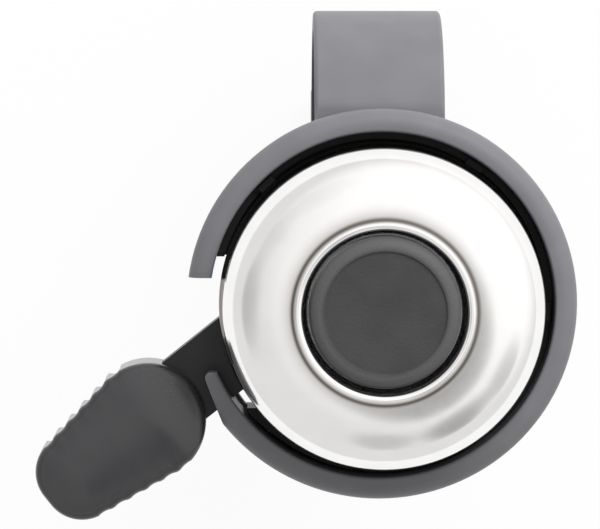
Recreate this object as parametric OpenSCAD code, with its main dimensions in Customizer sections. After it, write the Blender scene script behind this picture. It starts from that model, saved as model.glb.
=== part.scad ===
// Bicycle bell with a thumb lever, for a straight handlebar.
// The origin is the middle of the handlebar, X runs along the bar, and Z along the dome's axis.

/* [Handlebar clamp] */
// Diameter of the handlebar
bar_d = 25.4; // [22.2:0.1:31.8]
// Width of the hoop along the bar
hoop_w = 15.4; // [12:0.2:18]
// Thickness of the hoop's wall
hoop_t = 2.15; // [1.8:0.05:3]
// Thickness of the rubber liner
liner_t = 1.2; // [1:0.1:2]
// Distance from the bar's axis back to the dome's axis
bell_offset = 17.75; // [16:0.05:20]

/* [Housing] */
// Outer radius of the housing's wall
housing_r = 22.75; // [22.2:0.05:24]
// Inner radius of the housing's wall
housing_inner_r = 20.05; // [19.8:0.05:21]
// Height of the housing's wall
housing_h = 10; // [9.5:0.1:12]
// Thickness of the housing's floor
floor_t = 1.8; // [1.2:0.1:2.4]
// How far the tail of the C swings outwards
tail_shift = 0.55; // [0.3:0.05:1]

/* [Dome] */
// Diameter of the dome
dome_d = 37; // [35:0.5:37]
// Thickness of the dome's metal
dome_t = 1; // [0.8:0.1:1.2]
// Height of the dome's rim over the housing's underside
dome_rim_z = 8; // [7.8:0.1:8.6]
// Radius of the shoulder between skirt and crown
shoulder_r = 4.2; // [3.8:0.1:4.4]
// Radius of the recess for the cap
recess_r = 9.35; // [9:0.05:9.6]
// Radius of the centre cap
cap_r = 8.7; // [8:0.1:8.8]

/* [Lever] */
// Direction of the lever at rest, turned from X about Z
lever_turn = 218.5; // [216:0.5:221]
// Distance of the arm's centre line from the dome's axis
lever_offset = 6.3; // [6:0.1:6.8]
// Width of the arm
arm_w = 8.35; // [7.5:0.05:8.6]
// Thickness of the arm
arm_t = 2.8; // [2.4:0.1:3]
// Distance from the pivot to the near end of the thumb pad
pad_start = 23.1; // [23:0.1:25]
// Distance from the pivot to the far end of the thumb pad
pad_end = 44.8; // [43:0.1:47]
// Width of the thumb pad where it is widest
pad_near_w = 13.7; // [13:0.1:15]
// Width of the thumb pad at its far end
pad_far_w = 10.5; // [10:0.1:11.5]
// Height of the thumb pad along Z
pad_h = 9; // [8:0.1:10]
// Number of flutes on each long side of the pad
flutes = 6; // [4:1:7]

/* [Hidden] */
$fn = 96;
skin = 1.6;
gap = 0.01;
fit = 0.05;
through = 20;

// Clamp
bore_r = bar_d / 2 + fit;
liner_r = bore_r + liner_t;
hoop_r = liner_r + hoop_t;
split_w = 2.4;
lug_t = 4.6;
lug_y = split_w / 2 + lug_t;
lug_bottom = -hoop_r - 7;
clamp_screw_z = -hoop_r - 2.8;
screw_r = 2;
washer_sink = 1;
nut_t = 3.2;
clamp_washer_t = 0.6;
clamp_head_y = -lug_y + washer_sink - clamp_washer_t;
clamp_head_t = 3.4;
foot_t = 5;
foot_back = -bell_offset - 5.5;
edge_r = 0.5;

// The housing's underside, as low as the bar's hoop allows
housing_z = liner_r + 1.45;

// Heights over the housing's underside
cup_floor_z = floor_t;
cup_floor_t = 1.6;
cup_top_z = cup_floor_z + cup_floor_t;
washer_t = 0.5;
lever_z = cup_top_z + washer_t + 0.1;
arm_top_z = lever_z + arm_t;
roof_z = arm_top_z + 0.3;
post_top_z = 15.2;
cushion_t = 0.8;
cushion_r = 5;
recess_z = post_top_z + cushion_t + dome_t;
steel_washer_t = 0.8;
steel_washer_r = 4.5;
screw_head_t = 2;
screw_head_r = 2.8;

// The dome: a flared lip at the rim, the shoulder, a nearly flat crown, a valley and a bead
dome_r = dome_d / 2;
lip_r = 0.4;
lip_turn = 50;
flare_r = 1;
flare_c = [dome_r + flare_r, dome_rim_z + lip_r + (flare_r + lip_r) * sin(lip_turn)];
lip_c = flare_c - (flare_r + lip_r) * [cos(lip_turn), sin(lip_turn)];
shoulder_c = [dome_r - shoulder_r, recess_z - 1.4];
crown_r = 15.4;
crown_turn = 70;
crown_c = shoulder_c + (shoulder_r - crown_r) * [cos(crown_turn), sin(crown_turn)];
valley_r = 0.5;
bead_r = 0.6;
bead_c = [recess_r + bead_r, recess_z + 3.25];

// The base cup sits loosely in the housing
cup_r = housing_inner_r - 0.05;
cup_wall = 0.85;
cup_wall_z = dome_rim_z - 1.8;
rib_z = dome_rim_z - 0.9;
rib_angles = [56, 134, -3, -62];
tail_start = -55;
tail_end = -160;
tail_c = -tail_shift * [cos(tail_start), sin(tail_start)];
tip_x = -20.9;

// Openings for the lever
mouth_top = 3.15;
mouth_bottom = -7.85;
notch_top = 5.4;
notch_bottom = -12.4;
notch_x = -12.5;
stop_gap = 0.2;

// The lever's pivot stands beside the centre post
pivot = lever_offset * [cos(lever_turn - 90), sin(lever_turn - 90)];
pivot_r = 1.6;
pivot_head_r = 3.3;
pivot_head_t = 1.2;
boss_r = 3;
boss_t = 0.1;
hub_r = arm_w / 2;
tail_w = 5;
leaf_x = -14.1;
leaf_t = 0.35;
leaf_h = 4;
leaf_z = dome_rim_z + 1;
leaf_root = 2.3;
leaf_tip = 11;
leaf_end = leaf_tip + 0.8;
ear_t = 1.2;
ear_x = leaf_x + leaf_t / 2;
ear_back = 1.8;
head_r = 1.9;
head_h = 4.6;
pad_top_z = housing_h + 0.3;
core_h = pad_h - 2 * skin;
pad_near_round = pad_near_w / 2;
pad_far_round = 4.6;
pad_near_c = [pad_start + pad_near_round, 0];
pad_far_c = [pad_end - pad_far_round, pad_far_w / 2 - pad_far_round];
pad_lean = asin((pad_near_round - pad_far_round) / norm(pad_far_c - pad_near_c))
    - heading(pad_near_c, pad_far_c);
arm_in_pad = 3;
flute_r = 0.7;
flute_depth = 0.25;
flute_step = 2.16;
flute_start = 6.5;

// The return spring, wound round the pivot above the hub, in the lever's own frame
wire_r = 0.3;
coil_r = 2.55;
coil_turns = 3;
coil_pitch = 0.68;
coil_z = arm_top_z + 0.5;
coil_top_z = coil_z + coil_turns * coil_pitch;
peg_r = 0.6;
anchor_r = 0.8;
peg = [5.5, coil_r + wire_r + peg_r + 0.1];
anchor = [-coil_r - wire_r - anchor_r - 0.1, -6.2];

// Countersunk screws through the cup's floor into the clamp's foot
base_screw_x = 5.2;
base_screw_y = -3;
base_screw_r = 1.25;
base_head_r = 2.4;
head_sink = 1.2;

// Other fixings
post_r = 1.9;
spigot_r = 1.5;
pivot_thread_r = 1.3;
dome_screw_r = 1.2;
dome_hole_r = 1.4;
rivet_heights = [1, 3];

// Points of an arc from angle a0 to angle a1
function arc(c, r, a0, a1, n) =
    [for (i = [0 : n]) let (a = a0 + (a1 - a0) * i / n) c + r * [cos(a), sin(a)]];

// Where a circle about c0 crosses one about c1, on the right of the line from c0 to c1
function touching(c0, r0, c1, r1) =
    let (
        d = (c1 - c0) / norm(c1 - c0),
        along = (r0 * r0 - r1 * r1 + norm(c1 - c0) ^ 2) / (2 * norm(c1 - c0)),
        aside = sqrt(r0 * r0 - along * along)
    )
    c0 + along * d + aside * [d[1], -d[0]];

// Direction from one point to another
function heading(from, to) = atan2(to[1] - from[1], to[0] - from[0]);

// Puts children on the dome's axis, at the housing's underside
module at_bell() {
    translate([0, -bell_offset, housing_z])
        children();
}

// Puts children on the lever's pivot, with X along the arm
module at_lever() {
    at_bell()
        translate(pivot)
            rotate(lever_turn)
                children();
}

// A cylinder between two heights
module rod(r, z0, z1) {
    translate([0, 0, z0])
        cylinder(r = r, h = z1 - z0);
}

// A cross recess, cut down to height z0
module cross_slot(reach, half_w, z0) {
    for (turn = [0, 90])
        rotate(turn)
            block([-reach, -half_w, z0], [reach, half_w, z0 + 5]);
}

// A ring between two heights
module ring(r_out, r_in, z0, z1) {
    difference() {
        rod(r_out, z0, z1);
        rod(r_in, z0 - 1, z1 + 1);
    }
}

// A block between two corners
module block(low, high) {
    translate(low)
        cube(high - low);
}

// ---- Housing

// Section of the housing's wall, moved out by shift, with its top rounded over to the outside
module wall_section(shift) {
    crown = 1.9;
    lip = 0.35;
    draft = 0.25;
    foot = 1.2;
    top = housing_h;
    r0 = housing_inner_r + shift;
    r1 = housing_r + shift;
    polygon(concat(
        [[r0, 0]],
        arc([r0 + lip, top - lip], lip, 180, 90, 5),
        arc([r1 - crown, top - crown], crown, 90, 0, 8),
        arc([r1 - draft - foot, foot], foot, 0, -90, 8)
    ));
}

// The wall anticlockwise from the tail, and the tail, which swings out about its own centre
module housing_wall() {
    overlap = 5;
    rotate(tail_start - overlap)
        rotate_extrude(angle = 180 - tail_start + overlap)
            wall_section(0);
    translate(tail_c)
        rotate(tail_end)
            rotate_extrude(angle = tail_start - tail_end)
                wall_section(tail_shift);
}

module housing_floor() {
    floor_r = housing_r - 1.6;
    join = 10;
    rod(floor_r, 0, floor_t);
    translate(tail_c)
        rotate(tail_end)
            rotate_extrude(angle = tail_start - join - tail_end)
                square([floor_r + tail_shift, floor_t]);
}

// What is cut away at the end of the tail: a flat along its outside, and a rounded corner
module tail_tip() {
    lean = 21;
    round_r = 0.7;
    flat_h = 9;
    reach = 3;
    corner = [tip_x, mouth_bottom];
    c = corner + round_r * [(1 + sin(lean)) / cos(lean), -1];
    translate(corner)
        rotate(lean)
            block([-reach, -flat_h, -1], [0, reach, housing_h + 1]);
    translate(c)
        difference() {
            for (turn = [0, lean])
                rotate(turn)
                    block([-reach, 0, -1], [0, reach, housing_h + 1]);
            rod(round_r, -2, housing_h + 2);
        }
}

// The gap under the roof of the tail, with its edge parallel to the resting arm
module arm_gap() {
    translate(pivot)
        rotate(lever_turn)
            block([12, -14, -1], [32, arm_w / 2 + stop_gap, roof_z]);
}

module housing() {
    color("dimgray")
        at_bell()
            difference() {
                union() {
                    housing_wall();
                    housing_floor();
                }
                block([-40, mouth_bottom, -1], [notch_x, mouth_top, housing_h + 1]);
                tail_tip();
                intersection() {
                    rod(housing_inner_r + 0.1, -1, floor_t + 0.2);
                    block([-40, notch_bottom, -2], [notch_x, notch_top, floor_t + 1]);
                }
                intersection() {
                    arm_gap();
                    block([-40, -40, -1], [notch_x, mouth_top, housing_h]);
                }
                rod(spigot_r + fit, -1, floor_t + 1);
                translate(pivot)
                    rod(pivot_thread_r + fit, -1, floor_t + 1);
                base_screw_holes();
            }
}

// ---- Clamp

// Section of the hoop, with its outer edges rounded
module hoop_section() {
    half = hoop_w / 2;
    polygon(concat(
        [[liner_r, -half]],
        arc([hoop_r - edge_r, -half + edge_r], edge_r, -90, 0, 6),
        arc([hoop_r - edge_r, half - edge_r], edge_r, 0, 90, 6),
        [[liner_r, half]]
    ));
}

module hoop() {
    intersection() {
        rotate([0, 90, 0])
            rotate_extrude()
                hoop_section();
        block([-hoop_w, -hoop_r - 1, -hoop_r - 1], [hoop_w, hoop_r + 1, housing_z]);
    }
}

// The foot under the housing, which runs back under the dome's axis
module foot() {
    front = -9;
    root_z = 2;
    web = 4;
    translate([hoop_w / 2, 0, 0])
        rotate([0, -90, 0])
            linear_extrude(hoop_w)
                polygon([
                    [housing_z, foot_back],
                    [housing_z - foot_t + edge_r, foot_back],
                    [housing_z - foot_t, foot_back + edge_r],
                    [housing_z - foot_t, -hoop_r - web],
                    [root_z, -hoop_r + 0.3],
                    [root_z, -liner_r],
                    [housing_z - 3, front],
                    [housing_z, front]
                ]);
}

// Two lugs below the hoop, one on each side of the split
module lugs() {
    round_r = 3;
    half = hoop_w / 2;
    for (side = [-1, 1])
        translate([0, side * (split_w + lug_t) / 2 + lug_t / 2, 0])
            rotate([90, 0, 0])
                linear_extrude(lug_t)
                    polygon(concat(
                        arc([-half + round_r, lug_bottom + round_r], round_r, 180, 270, 10),
                        arc([half - round_r, lug_bottom + round_r], round_r, 270, 360, 10),
                        [[half, -liner_r - 0.5], [-half, -liner_r - 0.5]]
                    ));
}

// A rod along Y through the lugs
module across_lugs(r, y0, y1, sides = 96) {
    translate([0, y0, clamp_screw_z])
        rotate([-90, 0, 0])
            cylinder(r = r, h = y1 - y0, $fn = sides);
}

module clamp_bracket() {
    color("dimgray")
        difference() {
            union() {
                hoop();
                lugs();
                foot();
            }
            rotate([0, 90, 0])
                cylinder(r = liner_r, h = hoop_w + 2, center = true);
            block([-hoop_w, -split_w / 2, -2 * hoop_r], [hoop_w, split_w / 2, -liner_r + 2]);
            across_lugs(screw_r + 0.15, -lug_y - 1, lug_y + 1);
            across_lugs(4.1, lug_y - nut_t, lug_y + 1, 6);
            across_lugs(4.6, -lug_y - 1, -lug_y + washer_sink);
            at_bell() {
                rod(spigot_r, -foot_t - 1, 1);
                translate(pivot)
                    rod(pivot_thread_r, -foot_t - 4, 1);
                base_screw_holes();
            }
        }
}

module clamp_liner() {
    set_back = 0.7;
    color([0.07, 0.07, 0.07])
        difference() {
            rotate([0, 90, 0])
                cylinder(r = liner_r, h = hoop_w - 2 * set_back, center = true);
            rotate([0, 90, 0])
                cylinder(r = bore_r, h = hoop_w, center = true);
            block([-hoop_w, -split_w / 2, -hoop_r], [hoop_w, split_w / 2, 0]);
        }
}

module clamp_screw() {
    color("silver")
        difference() {
            union() {
                across_lugs(screw_r, clamp_head_y, lug_y - 0.2);
                across_lugs(3.5, clamp_head_y - clamp_head_t, clamp_head_y);
            }
            across_lugs(1.75, clamp_head_y - clamp_head_t - 1, clamp_head_y - 1.2, 6);
        }
}

module clamp_washer() {
    color("silver")
        difference() {
            across_lugs(4.4, clamp_head_y, clamp_head_y + clamp_washer_t);
            across_lugs(screw_r + 0.1, clamp_head_y - 1, clamp_head_y + 2);
        }
}

module clamp_nut() {
    color("silver")
        difference() {
            across_lugs(4.04, lug_y - nut_t, lug_y, 6);
            across_lugs(screw_r + fit, lug_y - nut_t - 1, lug_y + 1);
        }
}

// ---- Base cup and its fixings

module base_screw_holes() {
    for (side = [-1, 1])
        translate([side * base_screw_x, base_screw_y, 0])
            rod(base_screw_r + fit, -foot_t - 1, cup_top_z + 1);
}

module cup_ribs() {
    for (a = rib_angles)
        rotate(a)
            block([16.6, -1.1, cup_floor_z], [cup_r - 0.3, 1.1, rib_z]);
}

module base_cup() {
    color([0.04, 0.04, 0.04])
        at_bell()
            difference() {
                union() {
                    rod(cup_r, cup_floor_z, cup_top_z);
                    ring(cup_r, cup_r - cup_wall, cup_floor_z, cup_wall_z);
                    cup_ribs();
                    translate(pivot) {
                        rod(boss_r, cup_floor_z, cup_top_z + boss_t);
                        rotate(lever_turn)
                            translate(anchor)
                                rod(anchor_r, cup_floor_z, coil_top_z + 0.5);
                    }
                }
                block([-40, notch_bottom, -1], [notch_x, notch_top, through]);
                rod(spigot_r + fit, -1, through);
                translate(pivot)
                    rod(pivot_thread_r + fit, -1, through);
                base_screw_holes();
                for (side = [-1, 1])
                    translate([side * base_screw_x, base_screw_y, cup_top_z - head_sink])
                        cylinder(r1 = base_screw_r + fit, r2 = base_head_r + fit, h = head_sink + gap);
            }
}

module base_screws() {
    color("silver")
        at_bell()
            for (side = [-1, 1])
                translate([side * base_screw_x, base_screw_y, 0])
                    difference() {
                        union() {
                            rod(base_screw_r, -foot_t + 0.6, cup_top_z - head_sink);
                            translate([0, 0, cup_top_z - head_sink])
                                cylinder(r1 = base_screw_r, r2 = base_head_r, h = head_sink);
                        }
                        cross_slot(1.5, 0.3, cup_top_z - 0.8);
                    }
}

// Steel pillar with a shoulder on the cup's floor, a spigot in the clamp's foot and a tapped top
module centre_post() {
    color("silver")
        at_bell()
            difference() {
                union() {
                    rod(spigot_r, -foot_t + 0.4, cup_top_z);
                    rod(post_r, cup_top_z, post_top_z);
                }
                rod(dome_screw_r + fit, post_top_z - 7, post_top_z + 1);
            }
}

// ---- Dome and cap

// Outer outline of the dome's metal, from the lip up to the bead
function dome_outside() =
    let (
        valley_c = touching(crown_c, crown_r + valley_r, bead_c, bead_r + valley_r),
        crown_end = heading(crown_c, valley_c),
        bead_start = heading(bead_c, valley_c)
    )
    concat(
        arc(lip_c, lip_r, -120, lip_turn, 10),
        arc(flare_c, flare_r, 180 + lip_turn, 180, 8),
        arc(shoulder_c, shoulder_r, 0, crown_turn, 28),
        arc(crown_c, crown_r, crown_turn, crown_end, 12),
        arc(valley_c, valley_r, crown_end - 180, bead_start - 180, 8),
        arc(bead_c, bead_r, bead_start, 180, 16)
    );

module dome_section() {
    neck_r = recess_r + dome_t;
    inner_crown = crown_r - dome_t;
    meet = acos((neck_r - crown_c[0]) / inner_crown);
    polygon(concat(
        dome_outside(),
        [[recess_r, recess_z], [dome_hole_r, recess_z], [dome_hole_r, recess_z - dome_t]],
        [[neck_r, recess_z - dome_t]],
        arc(crown_c, inner_crown, meet, crown_turn, 10),
        arc(shoulder_c, shoulder_r - dome_t, crown_turn, 0, 18),
        [[dome_r - dome_t, flare_c[1]]],
        arc(lip_c, lip_r, 180, 230, 4)
    ));
}

module dome() {
    color("gainsboro")
        at_bell()
            rotate_extrude()
                dome_section();
}

module dome_cushion() {
    color([0.07, 0.07, 0.07])
        at_bell()
            ring(cushion_r, dome_hole_r, post_top_z, post_top_z + cushion_t);
}

module dome_washer() {
    color("silver")
        at_bell()
            ring(steel_washer_r, dome_hole_r, recess_z, recess_z + steel_washer_t);
}

module dome_screw() {
    z0 = recess_z + steel_washer_t;
    color("silver")
        at_bell()
            difference() {
                union() {
                    rod(dome_screw_r, post_top_z - 5, z0);
                    rod(screw_head_r, z0, z0 + screw_head_t);
                }
                cross_slot(1.7, 0.35, z0 + 0.7);
            }
}

module centre_cap() {
    skirt_t = 1.3;
    disc_r = 7.05;
    disc_sink = 0.15;
    round_r = 1.5;
    top = recess_z + 4.25;
    inside_z = recess_z + steel_washer_t + screw_head_t + 0.2;
    color([0.2, 0.2, 0.21])
        at_bell()
            rotate_extrude()
                polygon(concat(
                    [[0, inside_z], [0, top - disc_sink], [disc_r - disc_sink, top - disc_sink]],
                    arc([cap_r - round_r, top - round_r], round_r, 90, 0, 10),
                    [[cap_r, recess_z], [cap_r - skirt_t, recess_z], [cap_r - skirt_t, inside_z]]
                ));
}

// ---- Lever

// Two holes through the leaf and the lever's ear
module rivet_holes() {
    for (z = rivet_heights)
        translate([leaf_x - 1, 0.2, leaf_z + z])
            rotate([0, 90, 0])
                cylinder(r = 0.45, h = 4);
}

// One long side of the thumb pad's outline, from the near end to the far end
function pad_side(inset) = concat(
    arc(pad_near_c, pad_near_round - inset, 180, 90 - pad_lean, 24),
    arc(pad_far_c, pad_far_round - inset, 90 - pad_lean, 0, 12)
);

// Outline of the thumb pad, shrunk by an inset on every side
module pad_outline(inset) {
    side = pad_side(inset);
    polygon(concat(side, [for (i = [len(side) - 1 : -1 : 1]) [side[i][0], -side[i][1]]]));
}

module pad_core(grow) {
    translate([0, 0, pad_top_z - pad_h + skin - grow])
        linear_extrude(core_h + 2 * grow)
            pad_outline(skin - grow);
}

module lever() {
    color([0.05, 0.05, 0.05])
        at_lever()
            difference() {
                union() {
                    rod(hub_r, lever_z, arm_top_z);
                    block([0, -arm_w / 2, lever_z], [pad_start + arm_in_pad, arm_w / 2, arm_top_z]);
                    pad_core(0);
                    block([ear_x, -tail_w / 2, lever_z], [0, tail_w / 2, arm_top_z]);
                    block([ear_x, -ear_back, lever_z], [ear_x + ear_t, leaf_root, leaf_z + leaf_h]);
                    translate(peg)
                        rod(peg_r, lever_z, coil_z + 1);
                }
                rod(pivot_r + fit, 0, through);
                rivet_holes();
            }
}

// Grooves down the long sides of the pad, which narrows towards its far end
module pad_flutes() {
    side_start = pad_near_c + pad_near_round * [sin(pad_lean), cos(pad_lean)];
    for (side = [-1, 1], i = [0 : flutes - 1]) {
        x = pad_start + flute_start + i * flute_step;
        y = side_start[1] - (x - side_start[0]) * tan(pad_lean);
        translate([x, side * (y + flute_r - flute_depth), 0])
            rod(flute_r, -1, through);
    }
}

module thumb_pad() {
    arm_low = [0, -arm_w / 2 - gap, lever_z - gap];
    arm_high = [pad_start + arm_in_pad, arm_w / 2 + gap, arm_top_z + gap];
    color([0.27, 0.27, 0.28])
        at_lever()
            difference() {
                translate([0, 0, pad_top_z - pad_h])
                    linear_extrude(pad_h)
                        pad_outline(0);
                pad_core(gap);
                block(arm_low, arm_high);
                pad_flutes();
            }
}

module pivot_washer() {
    color("silver")
        at_lever()
            ring(boss_r, pivot_r + 0.1, cup_top_z + boss_t, cup_top_z + washer_t);
}

// Shoulder screw: the lever's hub and the coil turn on the wide part
module pivot_screw() {
    head_z = coil_top_z + wire_r + 0.2;
    color("silver")
        at_lever()
            difference() {
                union() {
                    rod(pivot_thread_r, -foot_t, cup_top_z + boss_t);
                    rod(pivot_r, cup_top_z + boss_t, head_z);
                    rod(pivot_head_r, head_z, head_z + pivot_head_t);
                }
                cross_slot(1.7, 0.35, head_z + 0.5);
            }
}

// ---- Springs and hammer

// A tube with round section along a path of points
module tube(path, r, sides) {
    n = len(path);
    along = [for (i = [0 : n - 1])
        let (d = path[min(i + 1, n - 1)] - path[max(i - 1, 0)]) d / norm(d)];
    points = [for (i = [0 : n - 1], k = [0 : sides - 1])
        let (
            side = cross(along[i], [0, 0, 1]) / norm(cross(along[i], [0, 0, 1])),
            up = cross(side, along[i]),
            a = 360 * k / sides
        )
        path[i] + r * (cos(a) * side + sin(a) * up)];
    walls = [for (i = [0 : n - 2], k = [0 : sides - 1])
        let (m = (k + 1) % sides)
        [i * sides + k, i * sides + m, (i + 1) * sides + m, (i + 1) * sides + k]];
    first = [for (k = [0 : sides - 1]) sides - 1 - k];
    last = [for (k = [0 : sides - 1]) (n - 1) * sides + k];
    polyhedron(points = points, faces = concat([first], walls, [last]), convexity = 8);
}

// From the lever's peg, round the pivot and up, to the cup's anchor
function spring_path() =
    let (steps = 22 * coil_turns)
    concat(
        [[peg[0] + 1.2, coil_r, coil_z], [2, coil_r, coil_z]],
        [for (i = [0 : steps])
            let (a = 90 + (360 * coil_turns + 90) * i / steps)
            [coil_r * cos(a), coil_r * sin(a), coil_z + coil_turns * coil_pitch * i / steps]],
        [[-coil_r, -2, coil_top_z], [-coil_r, anchor[1] - 1.2, coil_top_z]]
    );

module return_spring() {
    color("silver")
        at_lever()
            tube(spring_path(), wire_r, 8);
}

module hammer_spring() {
    color("lightsteelblue")
        at_lever()
            difference() {
                block(
                    [leaf_x - leaf_t / 2, -ear_back, leaf_z],
                    [leaf_x + leaf_t / 2, leaf_end, leaf_z + leaf_h]
                );
                rivet_holes();
            }
}

module hammer_rivets() {
    color("silver")
        at_lever()
            for (z = rivet_heights)
                translate([leaf_x, 0.2, leaf_z + z])
                    rotate([0, 90, 0]) {
                        rod(0.8, -leaf_t / 2 - 0.35, -leaf_t / 2);
                        rod(0.42, -leaf_t / 2, leaf_t / 2 + ear_t);
                        rod(0.8, leaf_t / 2 + ear_t, leaf_t / 2 + ear_t + 0.35);
                    }
}

module hammer_head() {
    color("goldenrod")
        at_lever()
            difference() {
                translate([leaf_x, leaf_tip, 0])
                    rod(head_r, leaf_z + leaf_h / 2 - head_h / 2, leaf_z + leaf_h / 2 + head_h / 2);
                block(
                    [leaf_x - leaf_t / 2 - gap, leaf_tip - 4, leaf_z - gap],
                    [leaf_x + leaf_t / 2 + gap, leaf_end + gap, leaf_z + leaf_h + gap]
                );
            }
}

housing();
clamp_bracket();
clamp_liner();
clamp_screw();
clamp_washer();
clamp_nut();
base_cup();
base_screws();
centre_post();
dome_cushion();
dome();
dome_washer();
dome_screw();
centre_cap();
lever();
thumb_pad();
pivot_screw();
pivot_washer();
return_spring();
hammer_spring();
hammer_rivets();
hammer_head();
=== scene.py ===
"""A bicycle bell with a thumb lever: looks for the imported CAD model, in its frame.

The CAD nodes keep their shapes and get bevels and procedural materials. The dome, the centre
cap, the thumb grip and the two springs are built here as finer meshes that stand for their nodes.
"""

import math

import bmesh
import bpy
from mathutils import Matrix, Vector


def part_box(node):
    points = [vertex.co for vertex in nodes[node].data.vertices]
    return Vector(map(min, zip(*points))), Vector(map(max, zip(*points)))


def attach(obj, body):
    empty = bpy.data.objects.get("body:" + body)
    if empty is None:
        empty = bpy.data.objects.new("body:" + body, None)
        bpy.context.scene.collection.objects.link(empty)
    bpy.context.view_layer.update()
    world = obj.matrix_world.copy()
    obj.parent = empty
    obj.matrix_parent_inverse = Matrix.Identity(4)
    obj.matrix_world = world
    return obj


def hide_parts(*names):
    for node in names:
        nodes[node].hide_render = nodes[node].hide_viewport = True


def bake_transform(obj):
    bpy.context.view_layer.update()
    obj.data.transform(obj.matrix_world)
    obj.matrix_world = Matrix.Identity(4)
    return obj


MM = 0.001

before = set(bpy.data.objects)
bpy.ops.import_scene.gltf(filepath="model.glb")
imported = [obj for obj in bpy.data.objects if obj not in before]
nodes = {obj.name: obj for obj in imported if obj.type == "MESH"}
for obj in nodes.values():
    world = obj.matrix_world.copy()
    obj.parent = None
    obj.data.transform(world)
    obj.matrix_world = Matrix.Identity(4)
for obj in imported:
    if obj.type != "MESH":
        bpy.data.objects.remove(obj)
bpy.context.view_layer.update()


# ---- Places read from the frame


def middle(node):
    low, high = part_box(node)
    return (low + high) / 2


dome_low, dome_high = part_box("dome")
cap_low, cap_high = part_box("centre_cap")
housing_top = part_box("housing")[1].z
whole_low = Vector(map(min, *[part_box(n)[0] for n in nodes]))
AXIS = Vector((0, middle("dome").y, 0))
PIVOT = Vector((middle("pivot_screw").x, middle("pivot_screw").y, 0))
LEVER_TURN = math.radians(218.5)


def at_lever(x, y, z):
    """A point at x along the arm from the pivot and y across it, in mm, at height z in metres."""
    along = Vector((math.cos(LEVER_TURN), math.sin(LEVER_TURN), 0))
    across = Vector((-along.y, along.x, 0))
    return PIVOT + x * MM * along + y * MM * across + Vector((0, 0, z))


# ---- Node helpers for materials

PLASTIC_CLOUDS = 260
METAL_CLOUDS = 300
METAL_MARKS = 900
WEAR_AND_HIGHLIGHT_WIDTH = 0.5 * MM
COAT_ROUGH = 0.12
SHEEN_ROUGH = 0.4


def new_material(name):
    material = bpy.data.materials.new(name)
    material.use_nodes = True
    tree = material.node_tree
    return material, tree, tree.nodes["Principled BSDF"]


def object_noise(tree, scale, detail, stretch=(1, 1, 1)):
    """Noise over the object's own coordinates, which are metres in the shared frame."""
    place = tree.nodes.new("ShaderNodeTexCoord")
    mapping = tree.nodes.new("ShaderNodeMapping")
    mapping.inputs["Scale"].default_value = stretch
    noise = tree.nodes.new("ShaderNodeTexNoise")
    noise.inputs["Scale"].default_value = scale
    noise.inputs["Detail"].default_value = detail
    tree.links.new(place.outputs["Object"], mapping.inputs["Vector"])
    tree.links.new(mapping.outputs["Vector"], noise.inputs["Vector"])
    return noise.outputs["Fac"]


def spread(tree, factor, low, high, start=0.3, end=0.7):
    """A value from low to high as the factor goes from start to end."""
    ramp = tree.nodes.new("ShaderNodeMapRange")
    ramp.inputs["From Min"].default_value = start
    ramp.inputs["From Max"].default_value = end
    ramp.inputs["To Min"].default_value = low
    ramp.inputs["To Max"].default_value = high
    tree.links.new(factor, ramp.inputs["Value"])
    return ramp.outputs["Result"]


def two_tones(tree, factor, dark, light):
    """A colour between two tones."""
    mix = tree.nodes.new("ShaderNodeMix")
    mix.data_type = "RGBA"
    mix.inputs["A"].default_value = (*dark, 1)
    mix.inputs["B"].default_value = (*light, 1)
    tree.links.new(factor, mix.inputs["Factor"])
    return mix.outputs["Result"]


def edges(tree, radius, low=0.6, high=0.95):
    """1 on convex and concave edges, 0 on faces, from how much a rounded normal turns."""
    bevel = tree.nodes.new("ShaderNodeBevel")
    bevel.samples = 6
    bevel.inputs["Radius"].default_value = radius
    geometry = tree.nodes.new("ShaderNodeNewGeometry")
    dot = tree.nodes.new("ShaderNodeVectorMath")
    dot.operation = "DOT_PRODUCT"
    tree.links.new(bevel.outputs["Normal"], dot.inputs[0])
    tree.links.new(geometry.outputs["Normal"], dot.inputs[1])
    return spread(tree, dot.outputs["Value"], 1, 0, low, high)


def turned_to(tree, colour, mask, other):
    """The colour, turned to the other one where the mask is 1."""
    mix = tree.nodes.new("ShaderNodeMix")
    mix.data_type = "RGBA"
    mix.inputs["B"].default_value = (*other, 1)
    tree.links.new(mask, mix.inputs["Factor"])
    tree.links.new(colour, mix.inputs["A"])
    return mix.outputs["Result"]


def by_attribute(tree, colour, name, other):
    """The colour, turned to the other one where the mesh's own attribute is 1."""
    mask = tree.nodes.new("ShaderNodeAttribute")
    mask.attribute_name = name
    return turned_to(tree, colour, mask.outputs["Fac"], other)


def bump(tree, shader, height, distance):
    node = tree.nodes.new("ShaderNodeBump")
    node.inputs["Distance"].default_value = distance
    node.inputs["Strength"].default_value = 1
    tree.links.new(height, node.inputs["Height"])
    tree.links.new(node.outputs["Normal"], shader.inputs["Normal"])


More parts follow.
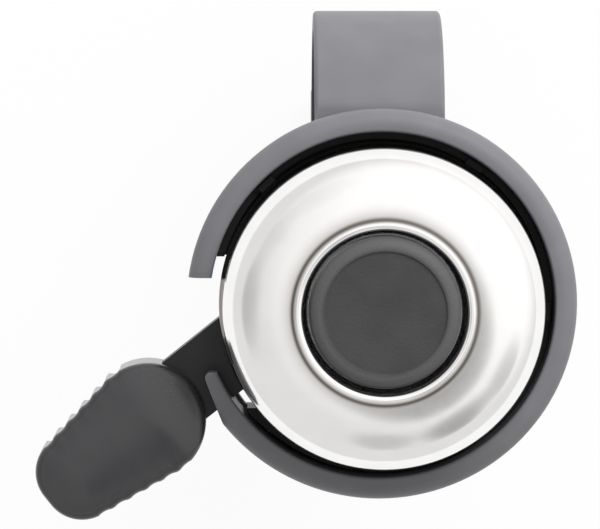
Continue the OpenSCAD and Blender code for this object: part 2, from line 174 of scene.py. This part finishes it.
def plastic(
    name, dark, light, rough, grain, grain_depth, wear_and_highlight=None, gloss=0.5, coat=0, sheen=0, rim=None
):
    """Moulded plastic: two close tones in soft clouds, fine grain, and edges lighter by wear and
    painted highlight.

    Where the mesh's own "rim" attribute is 1, the plastic turns to the rim colour given, a painted
    highlight.
    """
    material, tree, shader = new_material(name)
    clouds = spread(tree, object_noise(tree, PLASTIC_CLOUDS, 2), 0, 1)
    colour = two_tones(tree, clouds, dark, light)
    fine = object_noise(tree, grain, 4)
    if wear_and_highlight:
        colour = turned_to(tree, colour, edges(tree, WEAR_AND_HIGHLIGHT_WIDTH), wear_and_highlight)
    if rim:
        colour = by_attribute(tree, colour, "rim", rim)
    tree.links.new(colour, shader.inputs["Base Color"])
    tree.links.new(spread(tree, fine, rough - 0.05, rough + 0.06), shader.inputs["Roughness"])
    shader.inputs["Specular IOR Level"].default_value = gloss
    shader.inputs["Coat Weight"].default_value = coat
    shader.inputs["Coat Roughness"].default_value = COAT_ROUGH
    shader.inputs["Sheen Weight"].default_value = sheen
    shader.inputs["Sheen Roughness"].default_value = SHEEN_ROUGH
    bump(tree, shader, fine, grain_depth)
    return material


def metal(name, dark, light, rough, rough_spread, scratch, stretch=(1, 1, 1), painted_shade=None):
    """Bare or plated metal, with faint marks from working in its roughness and height.

    Where the mesh's own shade attribute is 1, the metal turns to the colour given, painted shade.
    """
    material, tree, shader = new_material(name)
    shader.inputs["Metallic"].default_value = 1
    marks = object_noise(tree, METAL_MARKS, 5, stretch)
    clouds = spread(tree, object_noise(tree, METAL_CLOUDS, 2), 0, 1)
    colour = two_tones(tree, clouds, dark, light)
    if painted_shade:
        colour = by_attribute(tree, colour, "painted_shade", painted_shade)
    tree.links.new(colour, shader.inputs["Base Color"])
    tree.links.new(spread(tree, marks, rough, rough + rough_spread), shader.inputs["Roughness"])
    bump(tree, shader, marks, scratch)
    return material


# The grey plastic's lighter edge colour is partly wear and partly painted highlight.
grey_plastic = plastic(
    "grey_plastic_look", (0.094, 0.093, 0.101), (0.103, 0.102, 0.110), 0.42, 9000, 0.004 * MM,
    wear_and_highlight=(0.19, 0.19, 0.20),
)
black_plastic = plastic(
    "black_plastic_look", (0.010, 0.010, 0.010), (0.014, 0.014, 0.014), 0.4, 8000, 0.004 * MM,
    gloss=0.15,
)
soft_touch = plastic(
    "soft_touch_look", (0.012, 0.012, 0.014), (0.015, 0.015, 0.017), 0.24, 7000, 0.003 * MM,
    coat=0.4,
)
# The cap's lighter rim colour is a painted highlight on its rounded edge.
cap_plastic = plastic(
    "cap_plastic_look", (0.020, 0.020, 0.021), (0.026, 0.026, 0.027), 0.36, 3800, 0.06 * MM,
    gloss=0.4, sheen=0.2, rim=(0.05, 0.05, 0.052),
)
arm_plastic = plastic(
    "arm_plastic_look", (0.007, 0.007, 0.007), (0.010, 0.010, 0.010), 0.38, 8000, 0.004 * MM,
    gloss=0.3,
)
rubber = plastic("rubber_look", (0.01, 0.01, 0.01), (0.016, 0.016, 0.016), 0.75, 5000, 0.02 * MM)
# The chrome's darker second colour is painted shade, laid on where the dome's shade attribute is
# 1.
chrome = metal(
    "chrome", (0.90, 0.895, 0.885), (0.93, 0.925, 0.915), 0.10, 0.05, 0.0004 * MM,
    painted_shade=(0.16, 0.14, 0.12),
)
steel = metal(
    "steel_look", (0.50, 0.50, 0.49), (0.60, 0.60, 0.59), 0.24, 0.16, 0.002 * MM,
    stretch=(1, 1, 0.15),
)
spring_steel = metal(
    "spring_steel_look", (0.36, 0.38, 0.42), (0.46, 0.48, 0.52), 0.2, 0.12, 0.001 * MM
)
brass = metal("brass_look", (0.60, 0.42, 0.17), (0.72, 0.52, 0.24), 0.22, 0.16, 0.002 * MM)

FINISH = {
    "grey_plastic": grey_plastic,
    "black_plastic": black_plastic,
    "soft_touch": soft_touch,
    "cap_plastic": cap_plastic,
    "rubber": rubber,
    "dome_metal": chrome,
    "steel": steel,
    "spring_steel": spring_steel,
    "brass": brass,
}


# ---- Mesh helpers

SHARP_ANGLE = math.radians(35)
WELD_DISTANCE = 0.002 * MM
WIRE_SIDES = 16


def smooth_by_angle(angle):
    """A modifier tree that shades smooth, but for edges sharper than the angle."""
    name = f"smooth_{round(math.degrees(angle))}"
    if name in bpy.data.node_groups:
        return bpy.data.node_groups[name]
    tree = bpy.data.node_groups.new(name, "GeometryNodeTree")
    tree.interface.new_socket("Geometry", in_out="INPUT", socket_type="NodeSocketGeometry")
    tree.interface.new_socket("Geometry", in_out="OUTPUT", socket_type="NodeSocketGeometry")
    start = tree.nodes.new("NodeGroupInput")
    end = tree.nodes.new("NodeGroupOutput")
    all_smooth = tree.nodes.new("GeometryNodeSetShadeSmooth")
    all_smooth.domain = "FACE"
    by_edge = tree.nodes.new("GeometryNodeSetShadeSmooth")
    by_edge.domain = "EDGE"
    edge_angle = tree.nodes.new("GeometryNodeInputMeshEdgeAngle")
    below = tree.nodes.new("FunctionNodeCompare")
    below.operation = "LESS_THAN"
    below.inputs["B"].default_value = angle
    tree.links.new(start.outputs["Geometry"], all_smooth.inputs["Geometry"])
    tree.links.new(all_smooth.outputs["Geometry"], by_edge.inputs["Geometry"])
    tree.links.new(edge_angle.outputs["Unsigned Angle"], below.inputs["A"])
    tree.links.new(below.outputs["Result"], by_edge.inputs["Shade Smooth"])
    tree.links.new(by_edge.outputs["Geometry"], end.inputs["Geometry"])
    return tree


def soften(obj, width, segments=3):
    """Joins the imported faces, rounds the sharp edges, and shades the faces between them flat."""
    weld = obj.modifiers.new("weld", "WELD")
    weld.merge_threshold = WELD_DISTANCE
    bevel = obj.modifiers.new("bevel", "BEVEL")
    bevel.width = width
    bevel.segments = segments
    bevel.limit_method = "ANGLE"
    bevel.angle_limit = SHARP_ANGLE
    bevel.use_clamp_overlap = True
    shade = obj.modifiers.new("shade", "NODES")
    shade.node_group = smooth_by_angle(SHARP_ANGLE)
    normals = obj.modifiers.new("normals", "WEIGHTED_NORMAL")
    normals.keep_sharp = True


def mesh_piece(name, verts, faces, material, body=None, node=None, sharp=40):
    """A new mesh object in the shared frame, which may stand for a CAD node."""
    mesh = bpy.data.meshes.new(name)
    mesh.from_pydata(verts, [], faces)
    mesh.materials.append(material)
    work = bmesh.new()
    work.from_mesh(mesh)
    bmesh.ops.recalc_face_normals(work, faces=work.faces)
    work.to_mesh(mesh)
    work.free()
    mesh.shade_smooth()
    mesh.set_sharp_from_angle(angle=math.radians(sharp))
    obj = bpy.data.objects.new(name, mesh)
    bpy.context.scene.collection.objects.link(obj)
    if body:
        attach(obj, body)
    if node:
        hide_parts(node)
    return obj


def arc(cx, cz, radius, start, end, steps):
    """Points of an arc from angle start to angle end, in degrees."""
    turns = [math.radians(start + (end - start) * i / steps) for i in range(steps + 1)]
    return [(cx + radius * math.cos(t), cz + radius * math.sin(t)) for t in turns]


def lathe(name, centre, profile, material, body, node, steps):
    """Turns a closed profile of (radius, height) points about the vertical through centre."""
    verts = []
    rings = []
    for r, z in profile:
        if r < 1e-7:
            rings.append([len(verts)] * steps)
            verts.append((centre.x, centre.y, z))
            continue
        rings.append(list(range(len(verts), len(verts) + steps)))
        for k in range(steps):
            turn = 2 * math.pi * k / steps
            verts.append((centre.x + r * math.cos(turn), centre.y + r * math.sin(turn), z))
    faces = []
    for i, ring in enumerate(rings):
        after = rings[(i + 1) % len(rings)]
        for k in range(steps):
            m = (k + 1) % steps
            corners = [ring[k], ring[m], after[m], after[k]]
            face = [c for j, c in enumerate(corners) if c not in corners[:j]]
            if len(face) > 2:
                faces.append(face)
    return mesh_piece(name, verts, faces, material, body, node)


# ---- CAD nodes keep their shapes

for obj in nodes.values():
    for slot in obj.material_slots:
        finish = FINISH[slot.material.name]
        slot.link = "OBJECT"
        slot.material = arm_plastic if obj is nodes["lever"] else finish

soften(nodes["housing"], 0.22 * MM)
soften(nodes["clamp_bracket"], 0.45 * MM, 4)
soften(nodes["base_cup"], 0.1 * MM)
soften(nodes["lever"], 0.35 * MM)
SMALL_PIECES = (
    "clamp_liner", "clamp_screw", "clamp_washer", "clamp_nut", "pivot_screw", "hammer_rivets",
)
for name in SMALL_PIECES:
    soften(nodes[name], 0.12 * MM)
soften(nodes["hammer_head"], 0.25 * MM)


# ---- Dome: spun metal with a flared lip, a shoulder, and a bead round the recess for the cap

sheet = 1.0 * MM
lip_r = 0.4 * MM
lip_turn = 50
flare_r = 1.0 * MM
flare_out = 0.5 * MM
dome_r = (dome_high.x - dome_low.x) / 2 - flare_out
shoulder_r = 4.2 * MM
shoulder_drop = 1.4 * MM
crown_r = 15.4 * MM
crown_turn = 70
bead_r = 0.6 * MM
bead_rise = 3.25 * MM
valley_r = 0.5 * MM
recess_r = 9.35 * MM
recess_z = cap_low.z
hole_r = 1.4 * MM
corner_r = 0.6 * MM


def polar(radius, turn):
    return radius * math.cos(math.radians(turn)), radius * math.sin(math.radians(turn))


def shift(point, by, sign=1):
    return point[0] + sign * by[0], point[1] + sign * by[1]


def touching(a, ra, b, rb):
    """Centre at ra from a and rb from b, on the outer side."""
    dx, dz = b[0] - a[0], b[1] - a[1]
    apart = math.hypot(dx, dz)
    along = (ra * ra - rb * rb + apart * apart) / (2 * apart)
    aside = math.sqrt(ra * ra - along * along)
    return (
        a[0] + (dx * along + dz * aside) / apart,
        a[1] + (dz * along - dx * aside) / apart,
    )


def heading(origin, point):
    return math.degrees(math.atan2(point[1] - origin[1], point[0] - origin[0]))


lip_c = (dome_r + flare_r - polar(flare_r + lip_r, lip_turn)[0], dome_low.z + lip_r)
flare_c = shift(lip_c, polar(flare_r + lip_r, lip_turn))
shoulder = (dome_r - shoulder_r, recess_z - shoulder_drop)
crown = shift(shoulder, polar(shoulder_r - crown_r, crown_turn))
bead = (recess_r + bead_r, recess_z + bead_rise)
valley = touching(crown, crown_r + valley_r, bead, bead_r + valley_r)
crown_end = heading(crown, valley)
bead_start = heading(bead, valley)
inner_end = math.degrees(math.acos((recess_r + sheet - crown[0]) / (crown_r - sheet)))
dome_profile = (
    arc(*lip_c, lip_r, -120, lip_turn, 10)
    + arc(*flare_c, flare_r, 180 + lip_turn, 180, 10)
    + arc(*shoulder, shoulder_r, 0, crown_turn, 48)
    + arc(*crown, crown_r, crown_turn, crown_end, 24)[1:]
    + arc(*valley, valley_r, crown_end - 180, bead_start - 180, 12)
    + arc(*bead, bead_r, bead_start, 180, 20)
    + arc(recess_r - corner_r, recess_z + corner_r, corner_r, 0, -90, 6)
    + [(hole_r, recess_z), (hole_r, recess_z - sheet)]
    + [(recess_r + sheet - corner_r, recess_z - sheet)]
    + arc(recess_r + sheet - corner_r, recess_z - sheet + corner_r, corner_r, -90, -20, 4)
    + arc(*crown, crown_r - sheet, inner_end, crown_turn, 12)
    + arc(*shoulder, shoulder_r - sheet, crown_turn, 0, 24)[1:]
    + [(dome_r - sheet, flare_c[1])]
    + arc(*lip_c, lip_r, 180, 230, 5)
)
shell = lathe("dome_shell", AXIS, dome_profile, chrome, "frame", "dome", 320)


def bell_curve(value, centre, half):
    """1 at the centre, falling smoothly to 0 at half away from it."""
    return max(0, 1 - ((value - centre) / half) ** 2) ** 2


def paint(obj, name, weight_at):
    """Gives each vertex a weight from its distance to the dome's axis and its height."""
    weights = obj.data.attributes.new(name, "FLOAT", "POINT")
    for vert, weight in zip(obj.data.vertices, weights.data):
        r = (Vector(vert.co.xy) - Vector(AXIS.xy)).length
        weight.value = weight_at(r, vert.co.z)


# Painted shade on the dome: a dark band round the valley, a fainter band fading outwards from it,
# and darker metal on the lip.
dark_r = valley[0] - 0.2 * MM
dark_half = 0.5 * MM
fade_width = 2.1 * MM
fade_weight = 0.55
lip_weight = 0.85
hair = 0.01 * MM


def painted_shade_at(r, z):
    """How much shade is painted on the dome's metal: most in the valley, fading outwards from it,
    and on the lip.
    """
    if z > recess_z + sheet:
        fade = max(0, 1 - (r - dark_r) / fade_width) if r > dark_r else 0
        return max(bell_curve(r, dark_r, dark_half), fade_weight * fade ** 2)
    on_lip = z < flare_c[1] + hair and r > dome_r - 0.3 * sheet
    return lip_weight if on_lip else 0


paint(shell, "painted_shade", painted_shade_at)


# ---- Centre cap: a matt disc sunk in a rounded rim

cap_r = (cap_high.x - cap_low.x) / 2
cap_top = cap_high.z
cap_inside = recess_z + 3.0 * MM
skirt = 1.3 * MM
disc_r = 6.95 * MM
sink = 0.24 * MM
cap_edge_r = 1.45 * MM
step_r = 0.1 * MM
step_in = 0.12 * MM
step_out = 0.14 * MM
rim_fade = 0.5 * MM
cap_profile = (
    [(0, cap_inside), (0, cap_top - sink), (disc_r - step_in, cap_top - sink)]
    + arc(disc_r - step_in, cap_top - sink + step_r, step_r, -90, -30, 3)
    + arc(disc_r + step_out, cap_top - step_r, step_r, 150, 90, 3)
    + arc(cap_r - cap_edge_r, cap_top - cap_edge_r, cap_edge_r, 90, 0, 16)
    + [(cap_r, cap_low.z), (cap_r - skirt, cap_low.z), (cap_r - skirt, cap_inside)]
)
button = lathe("cap_button", AXIS, cap_profile, cap_plastic, "frame", "centre_cap", 192)


def painted_rim_highlight(r, z):
    """How much of the rim's lighter colour, a painted highlight, the cap has: none on the disc,
    all of it outside.
    """
    return min(1, max(0, (r - disc_r) / rim_fade)) if z > cap_low.z + hair else 0


paint(button, "rim", painted_rim_highlight)


# ---- Thumb grip: a rounded pad with flutes down its long sides

pad_low, pad_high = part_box("thumb_pad")
pad_start = 23.1
pad_end = 44.8
near_width = 13.7
far_width = 10.5
near_round = near_width / 2
far_round = 4.6
near_c = (pad_start + near_round, 0)
far_c = (pad_end - far_round, far_width / 2 - far_round)
lean = math.degrees(
    math.asin((near_round - far_round) / math.dist(near_c, far_c))
) - heading(near_c, far_c)
flute_top = 0.16
flute_foot = 0.6
flute_half = 0.86
flute_start = 29.6
flute_pitch = 2.16
flute_places = [flute_start + flute_pitch * i for i in range(6)]


def even_steps(points, step):
    """Points at even distances along a line through the given points."""
    out = [points[0]]
    left = step
    for a, b in zip(points, points[1:]):
        length = math.dist(a, b)
        while length > left:
            t = left / length
            a = (a[0] + (b[0] - a[0]) * t, a[1] + (b[1] - a[1]) * t)
            out.append(a)
            length -= left
            left = step
        left -= length
    return out


def pad_outline():
    """Points and outward directions round the pad, without its flutes."""
    half = (
        arc(*near_c, near_round, 180, 90 - lean, 40)
        + arc(*far_c, far_round, 90 - lean, 0, 24)
        + [(pad_end, 0)]
    )
    half = even_steps(half, 0.1)
    points = half + [(x, -y) for x, y in reversed(half[1:])]
    count = len(points)
    out = []
    for i, point in enumerate(points):
        a, b = points[(i + 4) % count], points[i - 4]
        length = math.dist(a, b)
        out.append((point, ((b[1] - a[1]) / length, (a[0] - b[0]) / length)))
    return out


def flute(x):
    """1 in the middle of a flute and 0 between them, at x along the pad."""
    nearest = min(abs(x - place) for place in flute_places)
    return max(0, 1 - (nearest / flute_half) ** 2)


def thumb_grip():
    """The pad's surface in rings: up the wall, over its edge, and in across a crowned top."""
    outline = pad_outline()
    round_r = 0.9
    crown_rise = 0.55
    nose = 1.5
    flat_half = 3
    spine = (pad_start + near_round, pad_end - 5.4)
    height = (pad_high.z - pad_low.z) / MM
    wall_top = height - crown_rise - round_r
    rings = []
    for turn in range(0, 91, 15):
        t = math.radians(turn)
        rings.append((round_r * (1 - math.sin(t)), round_r * (1 - math.cos(t)), 1))
    for share in (0.2, 0.4, 0.6, 0.8):
        rings.append((0, round_r + (wall_top - round_r) * share, 1))
    for turn in range(0, 91, 10):
        t = math.radians(turn)
        rings.append((round_r * (1 - math.cos(t)), wall_top + round_r * math.sin(t), 1))
    for share in (0.94, 0.85, 0.72, 0.58, 0.44, 0.3, 0.16, 0.02):
        rings.append((round_r, height - crown_rise * share ** 2, share))
    verts = []
    faces = []
    for inset, up, share in rings:
        foot = flute_top + (flute_foot - flute_top) * max(0, 1 - up / wall_top)
        for (x, y), out in outline:
            side = foot * flute(x) * share ** 6 if abs(y) > flat_half else 0
            x -= out[0] * (inset + side)
            y -= out[1] * (inset + side)
            root = min(max(x, spine[0]), spine[1])
            x = root + (x - root) * share
            drop = nose * max(0, (spine[0] - x) / near_round) ** 2 * up / height
            verts.append(at_lever(x, y * share, pad_low.z + (up - drop) * MM))
    count = len(outline)
    for i in range(len(rings) - 1):
        for k in range(count):
            m = (k + 1) % count
            low, high = i * count, (i + 1) * count
            faces.append([low + k, low + m, high + m, high + k])
    faces.append(list(range(count)))
    faces.append(list(range((len(rings) - 1) * count, len(rings) * count)))
    grip = mesh_piece("thumb_grip", verts, faces, soft_touch, "lever_arm", "thumb_pad", 60)


thumb_grip()


# ---- Springs


def tube_piece(name, path, radius, material):
    """A round wire along a path, with closed ends."""
    sides = WIRE_SIDES
    verts = []
    faces = []
    count = len(path)
    for i, point in enumerate(path):
        along = (path[min(i + 1, count - 1)] - path[max(i - 1, 0)]).normalized()
        side = along.cross(Vector((0, 0, 1))).normalized()
        up = side.cross(along)
        for k in range(sides):
            turn = 2 * math.pi * k / sides
            verts.append(point + radius * (math.cos(turn) * side + math.sin(turn) * up))
    for i in range(count - 1):
        for k in range(sides):
            m = (k + 1) % sides
            faces.append([i * sides + k, i * sides + m, (i + 1) * sides + m, (i + 1) * sides + k])
    faces.append(list(range(sides)))
    faces.append([(count - 1) * sides + k for k in reversed(range(sides))])
    return mesh_piece(name, verts, faces, material)


def return_coil():
    """The lever's return spring: legs on the lever's peg and the cup's post, and turns between."""
    low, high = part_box("return_spring")
    wire_r = 0.3
    coil_r = 2.55
    turns = 3
    z0 = low.z + wire_r * MM
    rise = high.z - low.z - 2 * wire_r * MM
    sweep = 360 * turns + 90
    steps = 40 * turns
    leg_end, leg_run, leg_steps = 6.7, 3.7, 8
    path = [at_lever(leg_end - leg_run * i / leg_steps, coil_r, z0) for i in range(leg_steps)]
    for i in range(steps + 1):
        turn = math.radians(90 + sweep * i / steps)
        z = z0 + rise * i / steps
        path.append(at_lever(coil_r * math.cos(turn), coil_r * math.sin(turn), z))
    path += [at_lever(-coil_r, -0.8 * i, z0 + rise) for i in range(1, 10)]
    coil = tube_piece("return_coil", path, wire_r * MM, spring_steel)
    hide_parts("return_spring")
    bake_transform(coil)


def hammer_leaf():
    """The hammer's leaf spring: a strip with rounded ends, riveted to the lever's ear."""
    low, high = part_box("hammer_spring")
    x = -14.1
    thick = 0.35
    start, end = -1.8, 11.8
    height = (high.z - low.z) / MM
    corner = 0.9
    steps = 68
    verts = []
    for i in range(steps + 1):
        y = start + (end - start) * i / steps
        near = min(y - start, end - y)
        cut = 0 if near > corner else corner - math.sqrt(corner ** 2 - (corner - near) ** 2)
        for side, up in ((-1, cut), (1, cut), (1, height - cut), (-1, height - cut)):
            verts.append(at_lever(x + side * thick / 2, y, low.z + up * MM))
    faces = [[3, 2, 1, 0], [4 * steps + k for k in range(4)]]
    for i in range(steps):
        for k in range(4):
            m = (k + 1) % 4
            faces.append([4 * i + k, 4 * i + m, 4 * i + 4 + m, 4 * i + 4 + k])
    leaf = mesh_piece("hammer_leaf", verts, faces, spring_steel)
    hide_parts("hammer_spring")
    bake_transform(leaf)


return_coil()
hammer_leaf()


# ---- Stage: a pale floor and soft studio light

floor_half = 2.0
floor_gap = 0.2 * MM
floor_signs = ((-1, -1), (1, -1), (1, 1), (-1, 1))
floor_corners = [(sx * floor_half, sy * floor_half, 0) for sx, sy in floor_signs]
floor_mesh = bpy.data.meshes.new("floor")
floor_mesh.from_pydata(floor_corners, [], [(0, 1, 2, 3)])
floor = bpy.data.objects.new("floor", floor_mesh)
floor.location = (0, 0, whole_low.z - floor_gap)
bpy.context.scene.collection.objects.link(floor)
paper, _, paper_shader = new_material("paper")
paper_shader.inputs["Base Color"].default_value = (0.03, 0.03, 0.03, 1)
paper_shader.inputs["Roughness"].default_value = 0.8
paper_shader.inputs["Emission Color"].default_value = (1, 1, 1, 1)
paper_shader.inputs["Emission Strength"].default_value = 0.92
floor.data.materials.append(paper)


# Parts of the studio tent: azimuth from +X, tilt from straight up, full inside one angle and
# gone outside the other, and how much light each adds to the tent's own
TENT = 0.8
TENT_PARTS = (
    (42, 42, 15, 70, 0.35),
    (-54, 17, 2, 13, -0.5),
    (-58, 41, 2, 12, -0.42),
    (-32, 42, 2, 11, -0.34),
    (-88, 40, 2, 10, -0.23),
    (183, 44, 2, 18, -0.25),
    (150, 36, 2, 12, -0.10),
    (120, 34, 2, 12, -0.08),
)


def studio():
    """A white tent with a bright panel on the upper right and a few dim gaps."""
    world = bpy.data.worlds.new("studio")
    world.use_nodes = True
    tree = world.node_tree
    background = tree.nodes["Background"]
    background.inputs["Color"].default_value = (1, 0.996, 0.99, 1)
    place = tree.nodes.new("ShaderNodeTexCoord")
    total = None
    for azimuth, tilt, inner, outer, amount in TENT_PARTS:
        a, t = math.radians(azimuth), math.radians(tilt)
        dot = tree.nodes.new("ShaderNodeVectorMath")
        dot.operation = "DOT_PRODUCT"
        towards = (math.cos(a) * math.sin(t), math.sin(a) * math.sin(t), math.cos(t))
        dot.inputs[1].default_value = towards
        tree.links.new(place.outputs["Generated"], dot.inputs[0])
        part = tree.nodes.new("ShaderNodeMapRange")
        part.interpolation_type = "SMOOTHSTEP"
        part.inputs["From Min"].default_value = math.cos(math.radians(outer))
        part.inputs["From Max"].default_value = math.cos(math.radians(inner))
        part.inputs["To Max"].default_value = amount
        tree.links.new(dot.outputs["Value"], part.inputs["Value"])
        add = tree.nodes.new("ShaderNodeMath")
        add.operation = "ADD"
        add.inputs[1].default_value = TENT
        if total:
            tree.links.new(total, add.inputs[1])
        tree.links.new(part.outputs["Result"], add.inputs[0])
        total = add.outputs["Value"]
    tree.links.new(total, background.inputs["Strength"])
    bpy.context.scene.world = world


studio()


def softbox(name, azimuth, elevation, distance, size, power):
    """An area light aimed at the bell, from an azimuth turned from +X about Z."""
    light = bpy.data.lights.new(name, "AREA")
    light.shape = "RECTANGLE"
    light.size, light.size_y = size
    light.energy = power
    obj = bpy.data.objects.new(name, light)
    a, e = math.radians(azimuth), math.radians(elevation)
    away = Vector((math.cos(a) * math.cos(e), math.sin(a) * math.cos(e), math.sin(e)))
    obj.location = AXIS + distance * away
    obj.rotation_euler = away.to_track_quat("Z", "Y").to_euler()
    obj.visible_glossy = False
    bpy.context.scene.collection.objects.link(obj)


softbox("key", azimuth=62, elevation=38, distance=0.7, size=(0.4, 0.4), power=9.0)

bpy.context.scene.view_settings.view_transform = "Standard"


# ---- Camera, nearly overhead with a long lens

AIM_X, AIM_Y = -9.57 * MM, 4.74 * MM
CAMERA_FROM_AIM = Vector((-4.8 * MM, 33 * MM, 439 * MM))
aim = Vector((AIM_X, AXIS.y + AIM_Y, housing_top))
camera = bpy.data.objects.new("camera", bpy.data.cameras.new("camera"))
camera.data.sensor_width = 36
camera.data.lens = 228
camera.location = aim + CAMERA_FROM_AIM
back = (camera.location - aim).normalized()
right = Vector((0, 1, 0)).cross(back).normalized()
camera.rotation_euler = Matrix((right, back.cross(right), back)).transposed().to_euler()
camera.data.clip_start = 0.01
bpy.context.scene.collection.objects.link(camera)
bpy.context.scene.camera = camera
